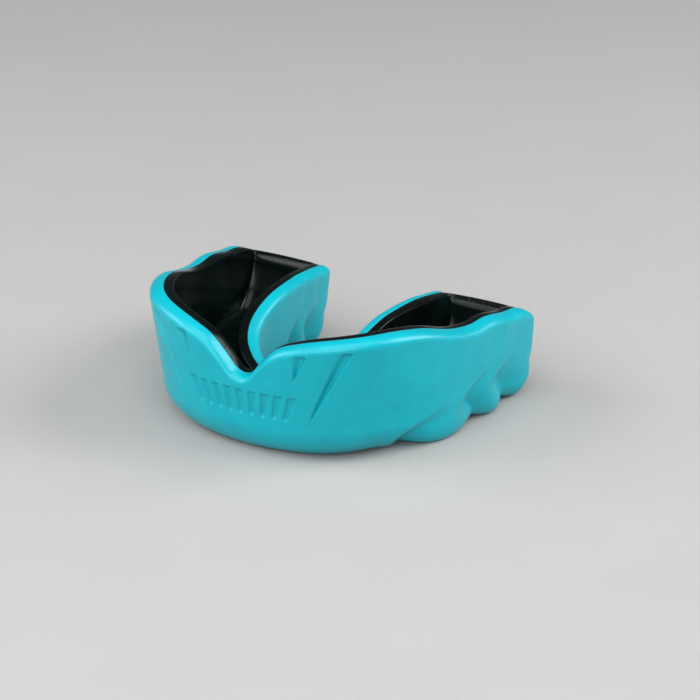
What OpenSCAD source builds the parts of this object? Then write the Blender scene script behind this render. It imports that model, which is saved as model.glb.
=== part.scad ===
// Boil-and-bite mouthguard: a dense rubber outer frame with a softer gel liner moulded into its channel.
// The part stands on its bite plate: +Z up, lip side towards -Y, arms towards +Y, origin under the middle.

/* [Arch] */
// Length along the lip wall from the middle of the front to the end of an arm
lip_len = 62.3; // [60:0.1:64]
// Length along the tongue wall from the middle of the front to the end of an arm
tongue_len = 41.2; // [40:0.1:42.5]
// Width of the channel at the middle of the front, at the height of the canine peaks
channel_w = 10.4; // [9.5:0.1:11.5]

/* [Walls] */
// Thickness of the frame's lip wall
lip_wall = 2.6; // [2:0.1:3]
// Thickness of the frame's tongue wall
tongue_wall = 2.1; // [1.6:0.1:2.5]
// Thickness of the frame under the channel
plate_t = 3.0; // [2:0.1:4]
// Height over which the rim of the lip wall is rounded
lip_round = 1.5; // [1:0.1:2]
// Height over which the rim of the tongue wall is rounded
tongue_round = 1.3; // [0.8:0.1:1.8]
// Radius of the corners at the bottom of the channel
channel_r = 2.2; // [1.5:0.1:2.5]

/* [Lip rim] */
// Height of the rim in the notch at the middle of the front
notch_h = 14.1; // [12:0.1:16]
// Height of the rim at its peak over the canine
canine_h = 22.7; // [20:0.1:24]
// Height of the rim in the dip over the premolars
dip_h = 18.3; // [17:0.1:19]
// Height of the rim at the end of an arm, before its corner is rounded
end_h = 14.6; // [13:0.1:16]

/* [Tongue rim] */
// Height of the tongue rim at the middle of the front
tongue_front_h = 9.6; // [9:0.1:12]
// Height of the tongue rim beside the molars
tongue_molar_h = 16.8; // [15:0.1:17.5]
// Height of the tongue rim at the end of an arm, before its corner is rounded
tongue_end_h = 15.1; // [13:0.1:16]

/* [Outside] */
// Inward slope of the lip face at the front, degrees
lip_draft = 7.5; // [4:0.5:9]
// Inward slope of the lip face at the end of an arm, degrees
arm_draft = 2; // [0:0.5:5]
// Inward slope of the tongue face, degrees
tongue_draft = 6; // [2:0.5:8]
// Radius of the corners at the end of an arm
end_r = 1.1; // [1:0.1:2]
// How far the end of an arm bows rearward between its two walls
end_bow = 0.7; // [0:0.1:1.5]
// Forward slope of the end of an arm below its rim, degrees
end_draft = 3; // [0:0.5:6]
// Height of the step across the end of an arm
step_h = 7.2; // [6:0.1:9]
// How far the end of the lip wall is set back below the step
lip_step = 0.35; // [0:0.05:0.8]
// How far the end of the tongue wall is set back below the step
tongue_step = 0.75; // [0:0.05:1]
// Depth of the groove along the step
step_dip = 0.35; // [0:0.05:0.5]
// How far the underside rises at the end of an arm
end_lift = 3.4; // [0:0.1:4]
// Length over which the underside rises
end_lift_w = 4.6; // [3:0.1:6]

/* [Lobes] */
// Depth of the creases between the lobes
crease_d = 1.5; // [0.5:0.1:1.6]
// Height that the creases raise the underside
crease_rise = 0.9; // [0:0.1:1.2]
// Height at which the front crease fades out
front_crease_h = 7.2; // [6:0.1:9]
// Height at which the other creases fade out
crease_h = 9.8; // [8:0.1:12]
// Depth of the shallow waves that run on above the creases
ridge_d = 0.12; // [0:0.02:0.3]

/* [Liner] */
// Thickness of the liner at its rims and walls
liner_t = 1.7; // [1.2:0.1:2]
// Thickness of the liner on the floor of the channel
liner_floor = 2.6; // [1.5:0.1:3]
// Radius of the corners at the bottom of the liner's channel
liner_r = 1.6; // [1:0.1:2]
// How much lower the inner edge of the liner's rim is than its outer edge
liner_lip = 0.5; // [0.2:0.1:0.8]
// Length over which the liner's floor rises to its closed rear end
liner_ramp = 7.5; // [5:0.5:12]
// Width of the level band along the liner's closed rear end
liner_end = 1.3; // [0.8:0.1:2]
// How far the liner's closed rear end is crowned between its two rims
liner_crown = 0.2; // [0:0.1:0.5]

/* [Hidden] */

// Tangent angle along each arch, against the fraction of its length
lip_bend = [[0, 0], [0.12, 10.5], [0.25, 28.4], [0.38, 58.2], [0.5, 71.2], [0.65, 80.5], [0.8, 85], [1, 91]];
tongue_bend = [[0, 0], [0.2, 46], [0.4, 82], [0.6, 87.2], [1, 85]];
// Rim heights against the fraction of the arch length
canine_s = 0.36;
lip_rim = [[0, notch_h], [0.025, notch_h + 0.6], [0.06, notch_h + 3.2], [0.1, notch_h + 5.6],
           [0.16, canine_h - 1.5], [0.24, canine_h - 0.5], [canine_s, canine_h], [0.5, canine_h - 1],
           [0.63, dip_h + 0.9], [0.71, dip_h], [0.79, dip_h - 0.1], [0.88, dip_h - 1.3],
           [0.95, end_h + 1.6], [1, end_h]];
tongue_rim = [[0, tongue_front_h], [0.2, tongue_molar_h - 4.5], [0.4, tongue_molar_h - 1.5],
              [0.6, tongue_molar_h], [0.8, tongue_molar_h - 0.3], [1, tongue_end_h]];
// Slope of the lip face, and the width and height of the rounding under it
draft = [[0, lip_draft], [canine_s, lip_draft], [0.55, arm_draft], [1, arm_draft]];
round_w = [[0, 4.6], [0.2, 5.4], [canine_s, 7], [0.45, 5.2], [0.55, 2], [0.7, 1.8], [1, 2.6]];
round_h = [[0, 6.5], [0.44, 6.5], [0.56, 3.5], [1, 3.5]];
tongue_round_w = 3;
tongue_round_h = 4.5;
// Creases between the lobes: fraction of the lip wall's length against height
creases = [[[0, 0.46], [3, 0.47], [7, 0.57], [10, 0.64]],
           [[0, 0.735], [3, 0.71], [6, 0.68], [10, 0.76]],
           [[0, 0.88], [4, 0.85], [7, 0.825], [10, 0.89]],
           [[0, 1.02], [3, 1.07], [7, 1.06], [10, 1.04]]];
// Height at which the creases have faded out, and their share of the full rise of the underside
crease_top = [[0, front_crease_h], [0.58, front_crease_h], [0.7, crease_h], [1, crease_h]];
rise_part = [[0, 0.35], [0.55, 0.35], [0.66, 1], [1, 1]];
// The smooth front falls into the first crease over this fraction of the length
crease_start = 0.05;
// A lobe's crest lies nearer the crease behind it as this power grows
crest_bias = 1.15;
// Height over which a crease fades out, and height below which the end of an arm is lifted
crease_fade = 5;
end_lift_h = 8;
// Width over which the end rounding and the creases fade towards the middle of the underside
fade_w = 3;
// Exponents that square up the rounded rims of the frame and of the liner
rim_power = 2 / 2.4;
lip_power = 2 / 4;

// Rings of points along one arm, in front of the first crease and behind it, closest at the notch
notch_bias = 1.25;
front_rings = 13;
lobe_rings = 24;
end_rings = 4;
// Segments in each stretch of the three paths that make a section
frame_segs = [3, 5, 5, 2, 4, 3, 2];
channel_segs = [6, 3, 6, 3, 6];
liner_segs = [3, 4, 3, 4, 3, 4, 3];
path_n = 24;
// Steps used to add up the arches
arch_steps = 240;

// ---- interpolation ----
function slope(t, i) = (t[i + 1][1] - t[i][1]) / (t[i + 1][0] - t[i][0]);
function tangent(t, i, flat) =
    i == 0 ? (flat ? 0 : slope(t, 0)) :
    i == len(t) - 1 ? slope(t, i - 1) :
    slope(t, i - 1) * slope(t, i) <= 0 ? 0 : (slope(t, i - 1) + slope(t, i)) / 2;
function span(t, s, i = 0) = i >= len(t) - 2 || s < t[i + 1][0] ? i : span(t, s, i + 1);
function hermite(t, s, i, flat) =
    let (h = t[i + 1][0] - t[i][0], k = (s - t[i][0]) / h)
    t[i][1] * (1 + 2 * k) * pow(1 - k, 2) + h * tangent(t, i, flat) * k * pow(1 - k, 2)
    + t[i + 1][1] * k * k * (3 - 2 * k) + h * tangent(t, i + 1, flat) * k * k * (k - 1);
// Smooth curve through the table t at s; flat makes it level at its start
function curve(t, s, flat = false) = hermite(t, max(t[0][0], min(s, t[len(t) - 1][0])), span(t, s), flat);
function clamp(v) = max(0, min(1, v));
function smooth(v) = let (c = clamp(v)) c * c * (3 - 2 * c);
function steps(n, first = 0) = [for (i = [first:n]) i / n];
function mix(a, b, k) = a * (1 - k) + b * k;

// ---- arches ----
// Rows of [fraction, x, y] along an arch of this length that starts at (0, y0)
function arch(len, bend, y0) =
    let (ds = len / arch_steps)
    [for (i = 0, x = 0, y = y0; i <= arch_steps;
          a = curve(bend, (i + 0.5) / arch_steps), x = x + ds * cos(a), y = y + ds * sin(a), i = i + 1)
        [i / arch_steps, x, y]];
lip_arch = arch(lip_len, lip_bend, 0);
tongue_arch = arch(tongue_len, tongue_bend, channel_w);
function columns(rows, c) = [for (r = rows) [r[0], r[c]]];
lip_x = columns(lip_arch, 1);
lip_y = columns(lip_arch, 2);
tongue_x = columns(tongue_arch, 1);
tongue_y = columns(tongue_arch, 2);
function normal(a) = [sin(a), -cos(a)];
// The lip and tongue faces at s, with their outward directions
function lip_dir(s) = normal(curve(lip_bend, s));
function tongue_dir(s) = normal(curve(tongue_bend, s));
function lip_face(s) = [lookup(s, lip_x), lookup(s, lip_y)] + lip_wall * lip_dir(s);
function tongue_face(s) = [lookup(s, tongue_x), lookup(s, tongue_y)] - tongue_wall * tongue_dir(s);
function width(s) = norm(lip_face(s) - tongue_face(s));
// 0 in front of the last part of an arm, rising to 1 at its end
function near_end(s, part) = pow(clamp(1 - (1 - s) / part), 2);
// The end of an arm slopes forward a little below its rim and is set back below a step
function end_shift(s, z, u) =
    (tan(end_draft) * max(end_h - z, 0) * near_end(s, 0.15)
     + (mix(tongue_step, lip_step, clamp(u)) * smooth(step_h + 0.5 - z)
        + step_dip * exp(-pow((z - step_h + 0.4) / 0.6, 2))) * near_end(s, 0.1)) / lip_len;
// The underside rises towards the end of an arm
function end_rise(s) = let (e = clamp(1 - (1 - s) * lip_len / end_lift_w)) end_lift * (1 - sqrt(1 - e * e));
// Point at s, q mm from the tongue face at height h: a smooth curve square to both faces
function plan(s, q, h) =
    let (z = h + end_rise(s) * clamp(1 - h / end_lift_h), u = q / width(s), p = s - end_shift(s, z, u),
         a = tongue_face(p), d = lip_face(p), w = norm(d - a),
         b = a + tongue_dir(p) * w / 3, c = d - lip_dir(p) * w / 3,
         back = [a[1] - d[1], d[0] - a[0]] / w,
         bow = end_bow * (1 - pow(2 * u - 1, 2)) * near_end(s, 0.2))
    [each a * pow(1 - u, 3) + 3 * b * u * pow(1 - u, 2) + 3 * c * u * u * (1 - u) + d * pow(u, 3)
          + back * bow,
     z];

// ---- rounding of the arm's end ----
end_s = 1 - end_r / lip_len;
function end_inset(s) = let (e = clamp((s - end_s) / (1 - end_s))) end_r * (1 - sqrt(1 - e * e));
function lip_h(s) = curve(lip_rim, s, true) - 0.6 * end_inset(s);
function tongue_h(s) = curve(tongue_rim, s, true) - 0.6 * end_inset(s);

// ---- lobes ----
function valley(t) = 1 - sin(180 * pow(clamp(t), crest_bias));
// 1 in a crease and 0 on a crest or where there are no lobes
function crease(s, z) =
    let (c = [for (line = creases) curve(line, z)], i = s < c[1] ? 0 : s < c[2] ? 1 : 2,
         start = (s - c[0]) / crease_start,
         low = smooth((curve(crease_top, s) - z) / crease_fade))
    (s < c[0] ? smooth(start + 1) : valley((s - c[i]) / (c[i + 1] - c[i])))
    * mix(ridge_d / crease_d * smooth(start), 1, low);

// ---- sections: each path runs from the crest of the lip rim to the crest of the tongue rim ----
function lip_slope(s) = tan(curve(draft, s));
// Distance of the lip face from the tongue face at height z; the notch is cut from one smooth face
function face(s, z) =
    width(s) - lip_slope(s) * ((s < canine_s ? canine_h : lip_h(s)) - lip_round - z);
// The channel's sides at height z
function lip_side(s, z) = face(s, z) - lip_wall;
function tongue_side(s, z) = tongue_wall + tan(tongue_draft) * (tongue_h(s) - z);
// Ends of the flat underside
function lip_corner(s) = face(s, curve(round_h, s)) - curve(round_w, s);
function tongue_corner(s) =
    tan(tongue_draft) * (tongue_h(s) - tongue_round - tongue_round_h) + tongue_round_w;

// Outside of the frame before the end rounding and the lobes, as [q, z, fraction of the wall]
function outside(s) =
    let (zl = lip_h(s) - lip_round, zt = tongue_h(s) - tongue_round,
         q0 = lip_side(s, lip_h(s)), q1 = face(s, zl), q2 = tongue_side(s, tongue_h(s)),
         zc = curve(round_h, s), rw = curve(round_w, s),
         ql = lip_corner(s), qt = tongue_corner(s), n = frame_segs)
    [for (k = steps(n[0])) let (c = pow(sin(90 * k), rim_power))
         [mix(q0, q1, c), zl + lip_round * pow(cos(90 * k), rim_power), c],
     for (k = steps(n[1], 1)) let (z = mix(zl, zc, k)) [face(s, z), z, 1],
     for (k = steps(n[2], 1)) [ql + rw * cos(90 * k), zc * (1 - sin(90 * k)), 1],
     for (k = steps(n[3], 1)) [mix(ql, qt, k), 0, 1],
     for (k = steps(n[4], 1)) [qt - tongue_round_w * sin(90 * k), tongue_round_h * (1 - cos(90 * k)), 1],
     for (k = steps(n[5], 1)) let (z = mix(tongue_round_h, zt, k)) [tan(tongue_draft) * (zt - z), z, 1],
     for (k = steps(n[6], 1)) let (c = 1 - pow(cos(90 * k), rim_power))
         [q2 * c, zt + tongue_round * pow(sin(90 * k), rim_power), 1 - c]];

function frame_point(s, p) =
    let (mid = (lip_corner(s) + tongue_corner(s)) / 2, side = sign(p[0] - mid),
         fade = clamp(abs(p[0] - mid) / fade_w), d = end_inset(s), k = crease(s, p[1]),
         q = p[0] - side * fade * (d * p[2] + crease_d * k),
         rise = crease_rise * curve(rise_part, s) * k)
    plan(s, q, p[1] + clamp(1 - p[1] / 3) * d + clamp(1 - p[1] / 4) * rise);

// A trough between two sides, inset by t, with its floor at f and corners of radius r
function trough(s, t, f, r, drop, n) =
    let (zl = lip_h(s) - drop, zt = tongue_h(s) - drop, zc = f + r,
         ql = lip_side(s, zc) - t - r, qt = tongue_side(s, zc) + t + r)
    [for (k = steps(n[0])) let (z = mix(zl, zc, k)) [lip_side(s, z) - t, z],
     for (k = steps(n[1], 1)) [ql + r * cos(90 * k), zc - r * sin(90 * k)],
     for (k = steps(n[2], 1)) [mix(ql, qt, k), f],
     for (k = steps(n[3], 1)) [qt - r * sin(90 * k), zc - r * cos(90 * k)],
     for (k = steps(n[4], 1)) let (z = mix(zc, zt, k)) [tongue_side(s, z) + t, z]];

function channel_path(s) = trough(s, 0, plate_t, channel_r, 0, channel_segs);

// The liner's free surface: its two rounded lips and the trough for the teeth
function liner_path(s) =
    let (n = liner_segs, ql = lip_side(s, lip_h(s)), qt = tongue_side(s, tongue_h(s)))
    [for (k = [0:n[0] - 1]) let (a = 90 * k / n[0])
         [ql - liner_t * pow(sin(a), lip_power), lip_h(s) - liner_lip * (1 - pow(cos(a), lip_power))],
     each trough(s, liner_t, plate_t + liner_floor, liner_r, liner_lip, [for (i = [1:5]) n[i]]),
     for (k = [1:n[6]]) let (a = 90 * (1 - k / n[6]))
         [qt + liner_t * pow(sin(a), lip_power), tongue_h(s) - liner_lip * (1 - pow(cos(a), lip_power))]];

// Towards the end of an arm the trough fills up to a straight line between the two rims
function ramp(s) = let (e = clamp(1 - ((1 - s) * lip_len - liner_end) / liner_ramp)) 1 - sqrt(1 - e * e);
function liner_point(s, p) =
    let (ql = lip_side(s, lip_h(s)), qt = tongue_side(s, tongue_h(s)), f = clamp((p[0] - qt) / (ql - qt)),
         top = mix(tongue_h(s), lip_h(s), f) + 4 * liner_crown * f * (1 - f)
               + 0.5 * end_inset(s) * clamp(8 * min(f, 1 - f)))
    plan(s, p[0], mix(p[1], top, ramp(s)));

// ---- rings of points, from the end of the left arm round to the end of the right arm ----
lobe_s = creases[0][0][1] - crease_start;
arm_s = [for (i = [0:front_rings - 1]) lobe_s * pow(i / front_rings, notch_bias),
         for (i = [0:lobe_rings - 1]) mix(lobe_s, end_s, i / lobe_rings),
         for (i = [0:end_rings]) mix(end_s, 1, sin(90 * i / end_rings))];
last = len(arm_s) - 1;
function flip(p) = [-p[0], p[1], p[2]];
function both_arms(rows) =
    [for (i = [last:-1:1]) [for (p = rows[i]) flip(p)], each rows];
outer_rings = both_arms([for (s = arm_s) [for (p = outside(s)) frame_point(s, p)]]);
channel_rings = both_arms([for (s = arm_s) [for (p = channel_path(s)) plan(s, p[0], p[1])]]);
liner_rings = both_arms([for (s = arm_s) [for (p = liner_path(s)) liner_point(s, p)]]);
ring_n = 2 * last + 1;

// Half the depth, so that the origin lies under the middle of the part
all_y = [for (r = outer_rings) for (p = r) p[1]];
mid_y = (min(all_y) + max(all_y)) / 2;

// ---- skin between two sheets of rings that share their first and last points ----
function sheet_a(i, j) = i * (path_n + 1) + j;
function sheet_b(i, j) =
    j == 0 || j == path_n ? sheet_a(i, j) : ring_n * (path_n + 1) + i * (path_n - 1) + j - 1;
module shell(a, b) {
    points = [for (r = a) each r, for (r = b) for (j = [1:path_n - 1]) r[j]];
    cells = [for (i = [0:ring_n - 2]) for (j = [0:path_n - 1]) [i, j]];
    skin_a = [for (c = cells) let (i = c[0], j = c[1])
        each [[sheet_a(i, j), sheet_a(i + 1, j + 1), sheet_a(i + 1, j)],
              [sheet_a(i, j), sheet_a(i, j + 1), sheet_a(i + 1, j + 1)]]];
    skin_b = [for (c = cells) let (i = c[0], j = c[1])
        each [[sheet_b(i, j), sheet_b(i + 1, j), sheet_b(i + 1, j + 1)],
              [sheet_b(i, j), sheet_b(i + 1, j + 1), sheet_b(i, j + 1)]]];
    caps = [for (j = [0:path_n - 1]) for (t = [
        [sheet_a(0, j), sheet_b(0, j), sheet_a(0, j + 1)],
        [sheet_a(0, j + 1), sheet_b(0, j), sheet_b(0, j + 1)],
        [sheet_a(ring_n - 1, j), sheet_a(ring_n - 1, j + 1), sheet_b(ring_n - 1, j)],
        [sheet_a(ring_n - 1, j + 1), sheet_b(ring_n - 1, j + 1), sheet_b(ring_n - 1, j)]])
        if (t[0] != t[1] && t[1] != t[2] && t[0] != t[2]) t];
    translate([0, -mid_y, 0]) polyhedron(points, concat(skin_a, skin_b, caps), convexity = 8);
}

module outer_frame() {
    color([0, 0.70, 0.78]) shell(outer_rings, channel_rings);
}
module gel_liner() {
    color([0.06, 0.08, 0.08]) shell(channel_rings, liner_rings);
}

outer_frame();
gel_liner();
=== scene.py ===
"""Looks of the mouthguard: a satin rubber frame with a glossy gel liner in its channel.

Both pieces are swept along the dental arch with the rules that shape the CAD solids, in
millimetres, and finer: they add the wedge grooves, the fan of bars and the small edge roundings.
"""

import math

import bpy
import numpy as np
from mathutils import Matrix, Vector


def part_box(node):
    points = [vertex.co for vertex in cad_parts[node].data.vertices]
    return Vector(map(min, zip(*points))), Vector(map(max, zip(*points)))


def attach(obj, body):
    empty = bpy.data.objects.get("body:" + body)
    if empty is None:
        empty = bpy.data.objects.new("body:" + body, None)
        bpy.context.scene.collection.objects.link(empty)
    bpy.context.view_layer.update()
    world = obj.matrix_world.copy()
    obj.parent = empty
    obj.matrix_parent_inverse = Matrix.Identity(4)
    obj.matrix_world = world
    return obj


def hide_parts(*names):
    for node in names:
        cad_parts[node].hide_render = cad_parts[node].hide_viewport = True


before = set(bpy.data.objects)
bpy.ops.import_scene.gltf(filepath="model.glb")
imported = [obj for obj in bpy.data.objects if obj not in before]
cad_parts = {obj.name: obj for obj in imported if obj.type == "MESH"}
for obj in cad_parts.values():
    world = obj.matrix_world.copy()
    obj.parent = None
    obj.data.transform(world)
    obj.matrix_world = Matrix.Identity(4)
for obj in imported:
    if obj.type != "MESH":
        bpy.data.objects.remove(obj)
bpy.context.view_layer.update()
MM = 0.001
QUARTER = math.pi / 2

# ---- sizes, in millimetres and degrees ----
# Lengths of the lip and tongue arch from the middle of the front to the end of one arm, the channel
# between them, and the walls, plate and roundings around it
LIP_LEN = 62.3
TONGUE_LEN = 41.2
CHANNEL_W = 10.4
LIP_WALL = 2.6
TONGUE_WALL = 2.1
PLATE_T = 3.0
LIP_ROUND = 1.5
TONGUE_ROUND = 1.3
CHANNEL_R = 2.2
# Heights of the lip rim and of the tongue rim
NOTCH_H = 14.1
CANINE_H = 22.7
DIP_H = 18.3
END_H = 14.6
TONGUE_FRONT_H = 9.6
TONGUE_MOLAR_H = 16.8
TONGUE_END_H = 15.1
# Slopes of the faces
LIP_DRAFT = 7.5
ARM_DRAFT = 2.0
TONGUE_DRAFT = 6.0
# End of an arm: its rounding, how much of that lowers the rims, and the bow and slope of its face
END_R = 1.1
END_DROP = 0.6
END_BOW = 0.7
END_DRAFT = 3.0
# Step across the end: how far it sets the lip and tongue side back, its height and the height it takes,
# and the depth, place below the step and width of the dip under it
LIP_STEP = 0.35
TONGUE_STEP = 0.75
STEP_H = 7.2
STEP_SOFT = 1.0
END_DIP_D = 0.35
END_DIP_BELOW = 0.4
END_DIP_W = 0.6
# Lift of the underside at the end, the length it takes, and the height up to which it is felt
END_LIFT = 3.4
END_LIFT_W = 4.6
END_LIFT_H = 8.0
# Creases: depth, rise of the underside, heights at which they end, their fade, and the trace above them
CREASE_D = 1.5
CREASE_RISE = 0.9
FRONT_CREASE_H = 7.2
CREASE_H = 9.8
CREASE_FADE = 5.0
RIDGE_D = 0.12
# Liner: wall, floor, corner and lips; the ramp up to the wall at the end of an arm, that wall and its crown;
# the share of the end rounding that it doesn't follow, and the part of its width over which this sets in
LINER_T = 1.7
LINER_FLOOR = 2.6
LINER_R = 1.6
LINER_LIP = 0.5
LINER_RAMP = 7.5
LINER_END = 1.3
LINER_CROWN = 0.2
LINER_KEEP = 0.5
LINER_BLEND = 1 / 8
# Rounding of the edges where the two pieces meet
EDGE_R = 0.13

# Parts of an arm, from its end, over which the end's bow, slope and step come in
BOW_PART = 0.2
SLOPE_PART = 0.15
STEP_PART = 0.1

# Tangent angle along each arch, against the fraction of its length
LIP_BEND = [(0, 0), (0.12, 10.5), (0.25, 28.4), (0.38, 58.2), (0.5, 71.2), (0.65, 80.5), (0.8, 85), (1, 91)]
TONGUE_BEND = [(0, 0), (0.2, 46), (0.4, 82), (0.6, 87.2), (1, 85)]
# Rim heights against the fraction of the arch length
CANINE_S = 0.36
LIP_RIM = [(0, NOTCH_H), (0.025, NOTCH_H + 0.6), (0.06, NOTCH_H + 3.2), (0.1, NOTCH_H + 5.6),
           (0.16, CANINE_H - 1.5), (0.24, CANINE_H - 0.5), (CANINE_S, CANINE_H), (0.5, CANINE_H - 1.0),
           (0.63, DIP_H + 0.9), (0.71, DIP_H), (0.79, DIP_H - 0.1), (0.88, DIP_H - 1.3),
           (0.95, END_H + 1.6), (1, END_H)]
TONGUE_RIM = [(0, TONGUE_FRONT_H), (0.2, TONGUE_MOLAR_H - 4.5), (0.4, TONGUE_MOLAR_H - 1.5),
              (0.6, TONGUE_MOLAR_H), (0.8, TONGUE_MOLAR_H - 0.3), (1, TONGUE_END_H)]
# Slope of the lip face, and the width and height of the rounding under it
DRAFT = [(0, LIP_DRAFT), (CANINE_S, LIP_DRAFT), (0.55, ARM_DRAFT), (1, ARM_DRAFT)]
ROUND_W = [(0, 4.6), (0.2, 5.4), (CANINE_S, 7), (0.45, 5.2), (0.55, 2), (0.7, 1.8), (1, 2.6)]
ROUND_H = [(0, 6.5), (0.44, 6.5), (0.56, 3.5), (1, 3.5)]
# The rounding under the tongue face, and the slope of that face
TONGUE_ROUND_W = 3.0
TONGUE_ROUND_H = 4.5
TONGUE_SLOPE = math.tan(math.radians(TONGUE_DRAFT))
# Creases between the lobes: fraction of the lip wall's length against height
CREASES = [[(0, 0.46), (3, 0.47), (7, 0.57), (10, 0.64)],
           [(0, 0.735), (3, 0.71), (6, 0.68), (10, 0.76)],
           [(0, 0.88), (4, 0.85), (7, 0.825), (10, 0.89)],
           [(0, 1.02), (3, 1.07), (7, 1.06), (10, 1.04)]]
# Height at which the creases have faded out, and their share of the full rise of the underside
CREASE_TOP = [(0, FRONT_CREASE_H), (0.58, FRONT_CREASE_H), (0.7, CREASE_H), (1, CREASE_H)]
RISE_PART = [(0, 0.35), (0.55, 0.35), (0.66, 1), (1, 1)]
CREASE_START = 0.05
CREST_BIAS = 1.15
# Distance from the middle of the underside over which the end rounding and the creases come in,
# and the heights up to which each of them raises it
FADE_W = 3.0
INSET_H = 3.0
RISE_H = 4.0
# Exponents that square up the rounded rims of the frame and of the liner
RIM_POWER = 2 / 2.4
LIP_POWER = 2 / 4

# Wedge grooves on each side of the lip face, as inner and outer arc at the top, height of the top,
# and arc and height of the tip
GROOVES = [((16.5, 18.9), 20.9, (11.3, 6.0)), ((9.5, 12.0), 20.0, (9.6, 14.6))]
# Depth; the share of the width that the floor slopes over and its least width; the widths of the outer
# wall and of the top edge; and the share of the length that fades out at the tip
GROOVE_D = 0.65
GROOVE_FLOOR = 0.62
GROOVE_FLOOR_MIN = 0.25
GROOVE_WALL = 0.3
GROOVE_TOP = 0.45
GROOVE_TIP = 1 / 6
# The fan of plain bars: number, pitch along the arch, half width, bottom and top height, outward lean, depth,
# widening per millimetre of height, and the widths of the side, bottom and top edges
BAR_N = 9
BAR_PITCH = 2.15
BAR_HALF = 0.5
BAR_Z = (7.1, 12.0)
BAR_LEAN = 0.07
BAR_D = 0.35
BAR_TAPER = 0.1
BAR_EDGE = 0.28
BAR_FOOT = 0.9
BAR_TOP = 0.4
# The relief ends at this distance from the middle of the front
RELIEF_ARC = 20.0

# Segments of the stretches of each path, stations at the end of an arm and rows across its end face
FRAME_SEGS = (10, 74, 20, 12, 8, 12, 8)
CHANNEL_SEGS = (6, 4, 10, 4, 6)
LINER_SEGS = (14, 16, 8, 14, 8, 16, 14)
EDGE_SEGS = 4
END_STATIONS = 8
CAP_ROWS = 10
# Points on an arch, and distance between the stations on it, over the relief and elsewhere
ARCH_POINTS = 1201
FINE_STEP = 0.14
STEP = 0.40


# ---- interpolation ----
def curve(table, s, flat=False):
    """Smooth curve through the rows of a table at s; flat makes it level at its start."""
    x, y = np.array(table, float).T
    slope = np.diff(y) / np.diff(x)
    start = 0.0 if flat else slope[0]
    tangent = np.concatenate([[start], (slope[1:] + slope[:-1]) / 2, [slope[-1]]])
    turns = slope[1:] * slope[:-1] <= 0
    tangent[1:-1][turns] = 0
    s = np.clip(s, x[0], x[-1])
    i = np.clip(np.searchsorted(x, s, side="right") - 1, 0, len(x) - 2)
    h = x[i + 1] - x[i]
    k = (s - x[i]) / h
    start_part = y[i] * (1 + 2 * k) * (1 - k) ** 2 + h * tangent[i] * k * (1 - k) ** 2
    return start_part + y[i + 1] * k * k * (3 - 2 * k) + h * tangent[i + 1] * k * k * (k - 1)


def clamp(v):
    return np.clip(v, 0, 1)


def smooth(v):
    return clamp(v) ** 2 * (3 - 2 * clamp(v))


def mix(a, b, k):
    return a * (1 - k) + b * k


def steps(n, first=0):
    return np.arange(first, n + 1)[None] / n


# ---- arches ----
ARCH_S = np.linspace(0, 1, ARCH_POINTS)


def arch(length, bend, y0):
    """Points along an arch of this length that starts at (0, y0)."""
    turn = np.radians(curve(bend, (ARCH_S[1:] + ARCH_S[:-1]) / 2))
    ds = length / (len(ARCH_S) - 1)
    x = np.concatenate([[0], np.cumsum(np.cos(turn) * ds)])
    y = np.concatenate([[0], np.cumsum(np.sin(turn) * ds)])
    return x, y + y0


LIP_ARCH = arch(LIP_LEN, LIP_BEND, 0)
TONGUE_ARCH = arch(TONGUE_LEN, TONGUE_BEND, CHANNEL_W)


def outward(bend, s):
    turn = np.radians(curve(bend, s))
    return np.stack([np.sin(turn), -np.cos(turn)], -1)


def on_arch(points, s):
    return np.stack([np.interp(s, ARCH_S, points[0]), np.interp(s, ARCH_S, points[1])], -1)


def lip_face(s):
    return on_arch(LIP_ARCH, s) + LIP_WALL * outward(LIP_BEND, s)


def tongue_face(s):
    return on_arch(TONGUE_ARCH, s) - TONGUE_WALL * outward(TONGUE_BEND, s)


def width(s):
    return np.linalg.norm(lip_face(s) - tongue_face(s), axis=-1)


def near_end(s, part):
    """0 in front of the last part of an arm, rising to 1 at its end."""
    return clamp(1 - (1 - s) / part) ** 2


def end_shift(s, z, u):
    """How far the end of an arm is set back at height z: by its slope, the step and the dip."""
    slope = math.tan(math.radians(END_DRAFT)) * np.maximum(END_H - z, 0) * near_end(s, SLOPE_PART)
    step = mix(TONGUE_STEP, LIP_STEP, clamp(u)) * smooth((STEP_H - z) / STEP_SOFT + 0.5)
    dip = END_DIP_D * np.exp(-((z - STEP_H + END_DIP_BELOW) / END_DIP_W) ** 2)
    return (slope + (step + dip) * near_end(s, STEP_PART)) / LIP_LEN


def end_lift(s):
    """How far the underside rises towards the end of an arm."""
    e = clamp(1 - (1 - s) * LIP_LEN / END_LIFT_W)
    return END_LIFT * (1 - np.sqrt(1 - e * e))


def plan(s, q, z):
    """Points q mm from the tongue face at height z: a smooth curve square to both faces."""
    s, q, z = np.broadcast_arrays(s, q, z)
    z = z + end_lift(s) * clamp(1 - z / END_LIFT_H)
    u = q / width(s)
    p = s - end_shift(s, z, u)
    a, d = tongue_face(p), lip_face(p)
    w = np.linalg.norm(d - a, axis=-1)[..., None]
    u = u[..., None]
    b = a + outward(TONGUE_BEND, p) * w / 3
    c = d - outward(LIP_BEND, p) * w / 3
    back = np.stack([(a - d)[..., 1], (d - a)[..., 0]], -1) / w
    bow = END_BOW * (1 - (2 * u - 1) ** 2) * near_end(s, BOW_PART)[..., None]
    xy = a * (1 - u) ** 3 + 3 * b * u * (1 - u) ** 2 + 3 * c * u * u * (1 - u) + d * u ** 3 + back * bow
    return np.concatenate([xy, z[..., None]], -1)


# ---- rounding of the arm's end ----
END_S = 1 - END_R / LIP_LEN


def end_inset(s):
    e = clamp((s - END_S) / (1 - END_S))
    return END_R * (1 - np.sqrt(1 - e * e))


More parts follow.
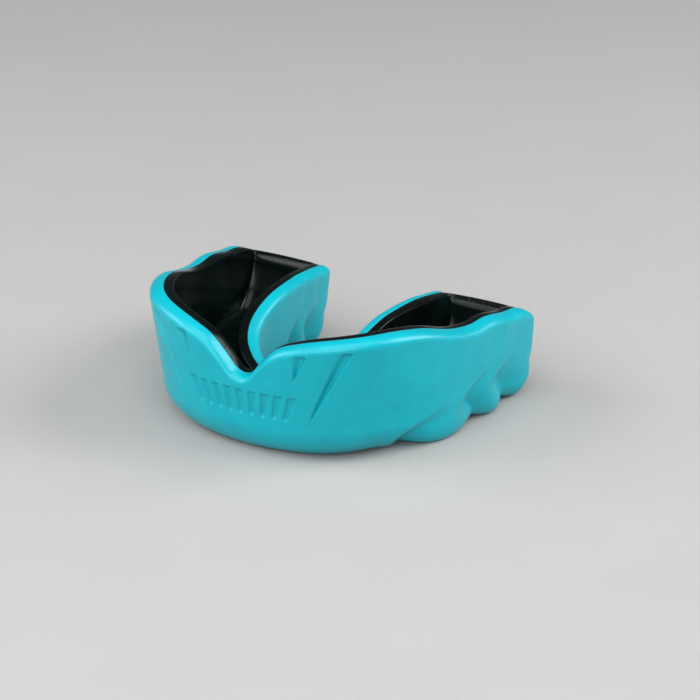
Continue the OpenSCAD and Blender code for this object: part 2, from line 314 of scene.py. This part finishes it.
def lip_h(s):
    return curve(LIP_RIM, s, True) - END_DROP * end_inset(s)


def tongue_h(s):
    return curve(TONGUE_RIM, s, True) - END_DROP * end_inset(s)


# ---- lobes ----
def valley(t):
    return 1 - np.sin(math.pi * clamp(t) ** CREST_BIAS)


def crease(s, z):
    """1 in a crease and 0 on a crest; above the lobes only a faint trace of them is left."""
    c = [curve(line, z) for line in CREASES]
    lobes = [valley((s - c[i]) / (c[i + 1] - c[i])) for i in range(3)]
    rows = np.where(s < c[1], lobes[0], np.where(s < c[2], lobes[1], lobes[2]))
    front = smooth((s - c[0]) / CREASE_START + 1)
    low = smooth((curve(CREASE_TOP, s) - z) / CREASE_FADE)
    height = mix(RIDGE_D / CREASE_D * smooth((s - c[0]) / CREASE_START), 1, low)
    return np.where(s < c[0], front, rows) * height


# ---- relief of the lip face ----
def groove(arc, z, top, top_z, tip):
    """A wedge that slopes in from its inner side, ends at a sharp outer wall and dies out at its tip."""
    k = (z - tip[1]) / (top_z - tip[1])
    inner, outer = mix(tip[0], top[0], k), mix(tip[0], top[1], k)
    floor = smooth((arc - inner) / np.maximum(GROOVE_FLOOR * (outer - inner), GROOVE_FLOOR_MIN))
    wall = smooth((outer - arc) / GROOVE_WALL)
    return GROOVE_D * floor * wall * smooth(k / GROOVE_TIP) * smooth((top_z - z) / GROOVE_TOP)


def bars(arc, z):
    """The fan of plain bars, which lean outwards on both sides of the middle."""
    mid_z = (BAR_Z[0] + BAR_Z[1]) / 2
    base = arc / (1 + BAR_LEAN * (z - mid_z) / 2)
    i = np.clip(np.round(base / BAR_PITCH), 0, BAR_N // 2)
    half = BAR_HALF * (1 + BAR_TAPER * (z - mid_z))
    across = smooth((half - np.abs(base - i * BAR_PITCH)) / BAR_EDGE + 0.5)
    ends = smooth((z - BAR_Z[0]) / BAR_FOOT) * smooth((BAR_Z[1] - z) / BAR_TOP)
    return BAR_D * across * ends


def relief(s, z):
    arc = s * LIP_LEN
    depth = bars(arc, z)
    for top, top_z, tip in GROOVES:
        depth = np.maximum(depth, groove(arc, z, top, top_z, tip))
    return np.where(arc < RELIEF_ARC, depth, 0)


# ---- sections: each path runs from the crest of the lip rim to the crest of the tongue rim ----
def face(s, z):
    """Distance of the lip face from the tongue face; the notch is cut from one smooth face."""
    top = np.where(s < CANINE_S, CANINE_H, lip_h(s)) - LIP_ROUND
    return width(s) - np.tan(np.radians(curve(DRAFT, s))) * (top - z)


def lip_side(s, z):
    return face(s, z) - LIP_WALL


def tongue_side(s, z):
    return TONGUE_WALL + TONGUE_SLOPE * (tongue_h(s) - z)


def bottom_corners(s):
    """Ends of the flat underside, as distances from the tongue face."""
    lip_corner = face(s, curve(ROUND_H, s)) - curve(ROUND_W, s)
    tongue_corner = TONGUE_SLOPE * (tongue_h(s) - TONGUE_ROUND - TONGUE_ROUND_H) + TONGUE_ROUND_W
    return lip_corner, tongue_corner


def join(stretches):
    """Stretches of a path, each a tuple of arrays, put end to end."""
    rows = max(part.shape[0] for stretch in stretches for part in stretch)
    full = [np.broadcast_arrays(np.zeros((rows, 1)), *stretch)[1:] for stretch in stretches]
    return [np.concatenate(parts, 1) for parts in zip(*full)]


def outside(s):
    """Outside of the frame, as distance from the tongue face, height and fraction of the wall."""
    lip_top, tongue_top = lip_h(s), tongue_h(s)
    zl, zt = lip_top - LIP_ROUND, tongue_top - TONGUE_ROUND
    q0, q1, q2 = lip_side(s, lip_top), face(s, zl), tongue_side(s, tongue_top)
    zc, rw = curve(ROUND_H, s), curve(ROUND_W, s)
    ql, qt = bottom_corners(s)
    turn = [QUARTER * steps(n) for n in FRAME_SEGS]
    edge = QUARTER * steps(EDGE_SEGS)
    lip_c = np.sin(turn[0][:, 1:]) ** RIM_POWER
    tongue_c = 1 - np.cos(turn[6][:, 1:-1]) ** RIM_POWER
    z_face = mix(zl, zc, steps(FRAME_SEGS[1], 1))
    z_tongue = mix(TONGUE_ROUND_H, zt, steps(FRAME_SEGS[5], 1))
    one = np.ones((1, 1))
    return join([
        (q0 + EDGE_R * (1 - np.cos(edge)), lip_top - EDGE_R * (1 - np.sin(edge)), 0 * one),
        (mix(q0, q1, lip_c), zl + LIP_ROUND * np.cos(turn[0][:, 1:]) ** RIM_POWER, lip_c),
        (face(s, z_face), z_face, one),
        (ql + rw * np.cos(turn[2][:, 1:]), zc * (1 - np.sin(turn[2][:, 1:])), one),
        (mix(ql, qt, steps(FRAME_SEGS[3], 1)), 0 * one, one),
        (qt - TONGUE_ROUND_W * np.sin(turn[4][:, 1:]), TONGUE_ROUND_H * (1 - np.cos(turn[4][:, 1:])), one),
        (TONGUE_SLOPE * (zt - z_tongue), z_tongue, one),
        (q2 * tongue_c, zt + TONGUE_ROUND * np.sin(turn[6][:, 1:-1]) ** RIM_POWER, 1 - tongue_c),
        (q2 - EDGE_R * (1 - np.sin(edge)), tongue_top - EDGE_R * (1 - np.cos(edge)), 0 * one)])


def frame_section(s):
    """The outside with the end rounding, the lobes and the relief, as distance and height."""
    q, z, wall = outside(s)
    from_mid = q - sum(bottom_corners(s)) / 2
    fade = clamp(np.abs(from_mid) / FADE_W)
    inset, k = end_inset(s), crease(s, z)
    depth = np.where(from_mid > 0, relief(s, z), 0)
    rise = clamp(1 - z / INSET_H) * inset + clamp(1 - z / RISE_H) * CREASE_RISE * curve(RISE_PART, s) * k
    return q - np.sign(from_mid) * fade * (inset * wall + CREASE_D * k + depth), z + rise


def trough(s, t, floor, r, drop, n):
    """A trough between two sides, inset by t, with its floor at this height and corners of radius r."""
    zl, zt, zc = lip_h(s) - drop, tongue_h(s) - drop, floor + r
    ql, qt = lip_side(s, zc) - t - r, tongue_side(s, zc) + t + r
    z_lip, z_tongue = mix(zl, zc, steps(n[0])), mix(zc, zt, steps(n[4], 1))
    a, b = QUARTER * steps(n[1], 1), QUARTER * steps(n[3], 1)
    return join([
        (lip_side(s, z_lip) - t, z_lip),
        (ql + r * np.cos(a), zc - r * np.sin(a)),
        (mix(ql, qt, steps(n[2], 1)), floor * np.ones((1, 1))),
        (qt - r * np.sin(b), zc - r * np.cos(b)),
        (tongue_side(s, z_tongue) + t, z_tongue)])


def channel_section(s):
    return trough(s, 0, PLATE_T, CHANNEL_R, EDGE_R, CHANNEL_SEGS)


def liner_section(s):
    """The liner's free surface: its two lips and the trough for the teeth."""
    lip_top, tongue_top = lip_h(s), tongue_h(s)
    ql, qt = lip_side(s, lip_top), tongue_side(s, tongue_top)
    edge = QUARTER * steps(EDGE_SEGS)
    a = QUARTER * steps(LINER_SEGS[0], 1)[:, :-1]
    b = QUARTER * (1 - steps(LINER_SEGS[6], 1)[:, :-1])
    q, z = join([
        (ql - EDGE_R * (1 - np.cos(edge)), lip_top - EDGE_R * (1 - np.sin(edge))),
        (ql - LINER_T * np.sin(a) ** LIP_POWER, lip_top - LINER_LIP * (1 - np.cos(a) ** LIP_POWER)),
        tuple(trough(s, LINER_T, PLATE_T + LINER_FLOOR, LINER_R, LINER_LIP, LINER_SEGS[1:6])),
        (qt + LINER_T * np.sin(b) ** LIP_POWER, tongue_top - LINER_LIP * (1 - np.cos(b) ** LIP_POWER)),
        (qt + EDGE_R * (1 - np.sin(edge)), tongue_top - EDGE_R * (1 - np.cos(edge)))])
    f = clamp((q - qt) / (ql - qt))
    # Towards the end of an arm the trough fills up to a crowned line between the two rims
    away = clamp(np.minimum(f, 1 - f) / LINER_BLEND)
    top = mix(tongue_top, lip_top, f) + 4 * LINER_CROWN * f * (1 - f) - EDGE_R
    top = top + LINER_KEEP * end_inset(s) * away
    e = clamp(1 - ((1 - s) * LIP_LEN - LINER_END) / LINER_RAMP)
    return q, mix(z, top, 1 - np.sqrt(1 - e * e))


# ---- meshes ----
def arm_stations(front_step):
    """Fractions along one arm: with this step over the relief, and closing up at the end."""
    fine_end = RELIEF_ARC / LIP_LEN
    front = np.linspace(0, fine_end, round(RELIEF_ARC / front_step), endpoint=False)
    arm = np.linspace(fine_end, END_S, round((END_S - fine_end) * LIP_LEN / STEP), endpoint=False)
    end = mix(END_S, 1, np.sin(QUARTER * steps(END_STATIONS)[0]))
    return np.concatenate([front, arm, end])[:, None]


def both_arms(rings):
    flipped = rings * np.array([-1, 1, 1])
    return np.concatenate([flipped[:0:-1], rings])


def ladder(a, b):
    """Triangles between two rows of vertex numbers of different lengths."""
    faces, i, j = [], 0, 0
    while i < len(a) - 1 or j < len(b) - 1:
        if j == len(b) - 1 or (i < len(a) - 1 and (i + 1) * (len(b) - 1) <= (j + 1) * (len(a) - 1)):
            faces.append((a[i], a[i + 1], b[j]))
            i += 1
        else:
            faces.append((a[i], b[j + 1], b[j]))
            j += 1
    return faces


def cap_rows(section_a, section_b):
    """Rows of points that carry one sheet over to the other along the arm's curved end face."""
    end = np.ones((1, 1))
    (qa, za), (qb, zb) = section_a(end), section_b(end)
    at = np.linspace(0, 1, qa.shape[1])
    at_b = np.linspace(0, 1, qb.shape[1])
    q_in, z_in = np.interp(at, at_b, qb[0]), np.interp(at, at_b, zb[0])
    return [plan(1.0, mix(qa[0], q_in, k), mix(za[0], z_in, k))[1:-1]
            for k in np.arange(1, CAP_ROWS) / CAP_ROWS]


def sweep(s, section_a, section_b):
    """A closed mesh between two sheets that share their first and last points, with shaped ends."""
    sheet_a, sheet_b = [both_arms(plan(s, *section(s))) for section in (section_a, section_b)]
    rings = np.concatenate([sheet_a, sheet_b[:, -2:0:-1]], 1)
    n, m = rings.shape[:2]
    grid = np.arange(n * m).reshape(n, m)
    near, far = grid[:-1], grid[1:]
    faces = np.stack([near, np.roll(near, -1, 1), np.roll(far, -1, 1), far], -1).reshape(-1, 4).tolist()
    vertices, start = [rings.reshape(-1, 3)], n * m
    rows, count = cap_rows(section_a, section_b), sheet_a.shape[1]
    for end, sign in ((n - 1, 1), (0, -1)):
        last = grid[end, :count].tolist()
        first_id, last_id = last[0], last[-1]
        inner = [first_id] + grid[end, :count - 2:-1].tolist()
        cap = []
        for row in rows:
            vertices.append(row * np.array([sign, 1, 1]))
            ids = [first_id] + list(range(start, start + len(row))) + [last_id]
            start += len(row)
            cap += [(last[i], last[i + 1], ids[i + 1], ids[i]) for i in range(len(ids) - 1)]
            last = ids
        cap += ladder(last, inner)
        faces += [list(dict.fromkeys(face[::sign])) for face in cap]
    return np.concatenate(vertices), [face for face in faces if len(face) > 2]


def make_piece(name, vertices, faces):
    mesh = bpy.data.meshes.new(name)
    mesh.from_pydata((vertices * MM).tolist(), [], faces)
    mesh.polygons.foreach_set("use_smooth", np.ones(len(mesh.polygons), bool))
    mesh.update()
    piece = bpy.data.objects.new(name, mesh)
    bpy.context.scene.collection.objects.link(piece)
    return piece


# ---- materials ----
# Socket numbers of a Mix node that mixes colours
MIX_FACTOR, MIX_A, MIX_B, MIX_RESULT = 0, 6, 7, 2


class Nodes:
    """Short calls for building a node material."""

    def __init__(self, name):
        self.material = bpy.data.materials.new(name)
        self.material.use_nodes = True
        self.tree = self.material.node_tree
        self.shader = self.tree.nodes["Principled BSDF"]
        self.place = self.add("ShaderNodeTexCoord").outputs["Object"]

    def add(self, kind, inputs=(), **settings):
        node = self.tree.nodes.new(kind)
        for key, value in settings.items():
            setattr(node, key, value)
        for key, value in dict(inputs).items():
            if isinstance(value, bpy.types.NodeSocket):
                self.tree.links.new(value, node.inputs[key])
            else:
                node.inputs[key].default_value = value
        return node

    def noise(self, scale, detail=3.0, roughness=0.5, vector=None):
        inputs = {"Vector": vector or self.place, "Scale": scale, "Detail": detail, "Roughness": roughness}
        return self.add("ShaderNodeTexNoise", inputs).outputs["Fac"]

    def remap(self, value, low, high, to_low, to_high):
        inputs = {"Value": value, "From Min": low, "From Max": high, "To Min": to_low, "To Max": to_high}
        return self.add("ShaderNodeMapRange", inputs).outputs["Result"]

    def blend(self, factor, a, b):
        node = self.add("ShaderNodeMix", data_type="RGBA")
        node.inputs[MIX_A].default_value = (*a, 1)
        node.inputs[MIX_B].default_value = (*b, 1)
        self.tree.links.new(factor, node.inputs[MIX_FACTOR])
        return node.outputs[MIX_RESULT]

    def bump(self, height, strength, distance, under=None):
        inputs = {"Height": height, "Strength": strength, "Distance": distance}
        if under is not None:
            inputs["Normal"] = under
        return self.add("ShaderNodeBump", inputs).outputs["Normal"]

    def drive(self, socket, value):
        self.tree.links.new(value, self.shader.inputs[socket])

    def fix(self, **values):
        for socket, value in values.items():
            self.shader.inputs[socket.replace("_", " ")].default_value = value


def rubber_material():
    """Satin teal rubber: faint mottling, a fine moulded texture and uneven gloss."""
    m = Nodes("teal_rubber")
    mottle = m.remap(m.noise(260, 4), 0.35, 0.65, 0, 1)
    m.drive("Base Color", m.blend(mottle, (0.0, 0.305, 0.375), (0.0, 0.335, 0.405)))
    m.drive("Roughness", m.remap(m.noise(900, 3), 0.3, 0.7, 0.30, 0.38))
    grain = m.bump(m.noise(7000, 2), 0.25, 0.00003)
    m.drive("Normal", m.bump(m.noise(1400, 3), 0.15, 0.00005, grain))
    m.fix(IOR=1.5, Specular_IOR_Level=0.46, Specular_Tint=(0.65, 1.0, 1.0, 1.0))
    return m.material


def gel_material():
    """Glossy black gel with fine scratches and dust, and a faint green cast painted into its colour as
    reflection of the teal frame.
    """
    m = Nodes("black_gel")
    # Painted reflection: random patches of green-tinted near-black stand in for teal light reflected from the
    # frame.
    painted_reflection_mask = m.remap(m.noise(120, 2), 0.35, 0.65, 0, 1)
    m.drive("Base Color", m.blend(painted_reflection_mask, (0.001, 0.002, 0.002), (0.001, 0.006, 0.005)))
    stretched = m.add("ShaderNodeMapping", {"Vector": m.place, "Scale": (1, 0.12, 0.5)}).outputs["Vector"]
    scratches = m.remap(m.noise(2600, 4, 0.6, stretched), 0.60, 0.68, 0, 1)
    dust = m.remap(m.noise(4200, 2, 0.5), 0.70, 0.76, 0, 1)
    worn = m.add("ShaderNodeMath", {0: scratches, 1: dust}, operation="MAXIMUM").outputs[0]
    m.drive("Roughness", m.remap(worn, 0, 1, 0.18, 0.42))
    fine = m.bump(m.noise(5000, 2), 0.10, 0.00003)
    m.drive("Normal", m.bump(worn, 0.15, 0.00004, fine))
    m.fix(IOR=1.5, Specular_IOR_Level=0.18)
    return m.material


def floor_material():
    m = Nodes("pale_floor")
    m.drive("Base Color", m.blend(m.noise(40, 3), (0.31, 0.31, 0.305), (0.33, 0.33, 0.325)))
    m.fix(Roughness=0.9)
    return m.material


# ---- pieces ----
frame_s = arm_stations(FINE_STEP)
liner_s = arm_stations(STEP)
frame_vertices, frame_faces = sweep(frame_s, frame_section, channel_section)
liner_vertices, liner_faces = sweep(liner_s, channel_section, liner_section)
# The sections start at the front of the channel; the CAD box says where that is
low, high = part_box("outer_frame")
own_y = frame_vertices[:, 1]
shift = np.array([0, (low.y + high.y) / 2 / MM - (own_y.min() + own_y.max()) / 2, 0])

frame_piece = make_piece("frame_shell", frame_vertices + shift, frame_faces)
frame_piece.data.materials.append(rubber_material())
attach(frame_piece, "root")
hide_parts("outer_frame")

liner_piece = make_piece("liner_shell", liner_vertices + shift, liner_faces)
liner_piece.data.materials.append(gel_material())
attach(liner_piece, "root")
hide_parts("gel_liner")


# ---- floor, light and camera, in metres and watts ----
FLOOR_SIZE = 4.0
LIGHT_TARGET = (0, 0, 0.01)
LIGHTS = [("softbox", (0.05, -0.12, 0.58), 0.45, 2.0),
          ("front_box", (0.26, -0.45, 0.30), 0.4, 2.2),
          ("middle_box", (-0.134, -0.5, 0.30), 0.4, 1.3),
          ("left_box", (-0.424, -0.248, 0.344), 0.4, 2.7),
          ("right_box", (0.424, 0.248, 0.344), 0.4, 3.8)]
AZIMUTH, ELEVATION = math.radians(30.36), math.radians(23.56)
DISTANCE = 0.5329
TARGET = (0.01142, -0.00702, 0.01515)
LENS = 164.57


def make_floor(size):
    mesh = bpy.data.meshes.new("floor")
    h = size / 2
    mesh.from_pydata([(-h, -h, 0), (h, -h, 0), (h, h, 0), (-h, h, 0)], [], [(0, 1, 2, 3)])
    mesh.materials.append(floor_material())
    floor = bpy.data.objects.new("floor", mesh)
    bpy.context.scene.collection.objects.link(floor)


def aim(obj, place, target):
    obj.location = place
    obj.rotation_euler = Vector(np.subtract(target, place)).to_track_quat("-Z", "Y").to_euler()


def soft_light(name, place, size, watts):
    lamp = bpy.data.lights.new(name, "AREA")
    lamp.shape = "RECTANGLE"
    lamp.size, lamp.size_y = size, size
    lamp.energy = watts
    light = bpy.data.objects.new(name, lamp)
    bpy.context.scene.collection.objects.link(light)
    aim(light, place, LIGHT_TARGET)


make_floor(FLOOR_SIZE)
for light_row in LIGHTS:
    soft_light(*light_row)
world = bpy.data.worlds.new("studio")
world.use_nodes = True
world.node_tree.nodes["Background"].inputs["Color"].default_value = (0.8, 0.85, 0.9, 1)
world.node_tree.nodes["Background"].inputs["Strength"].default_value = 0.12
bpy.context.scene.world = world
bpy.context.scene.view_settings.view_transform = "Standard"

level = math.cos(ELEVATION)
back = (math.sin(AZIMUTH) * level, -math.cos(AZIMUTH) * level, math.sin(ELEVATION))
camera = bpy.data.objects.new("camera", bpy.data.cameras.new("camera"))
camera.data.sensor_width = 36
camera.data.lens = LENS
bpy.context.scene.collection.objects.link(camera)
aim(camera, tuple(t + DISTANCE * b for t, b in zip(TARGET, back)), TARGET)
bpy.context.scene.camera = camera
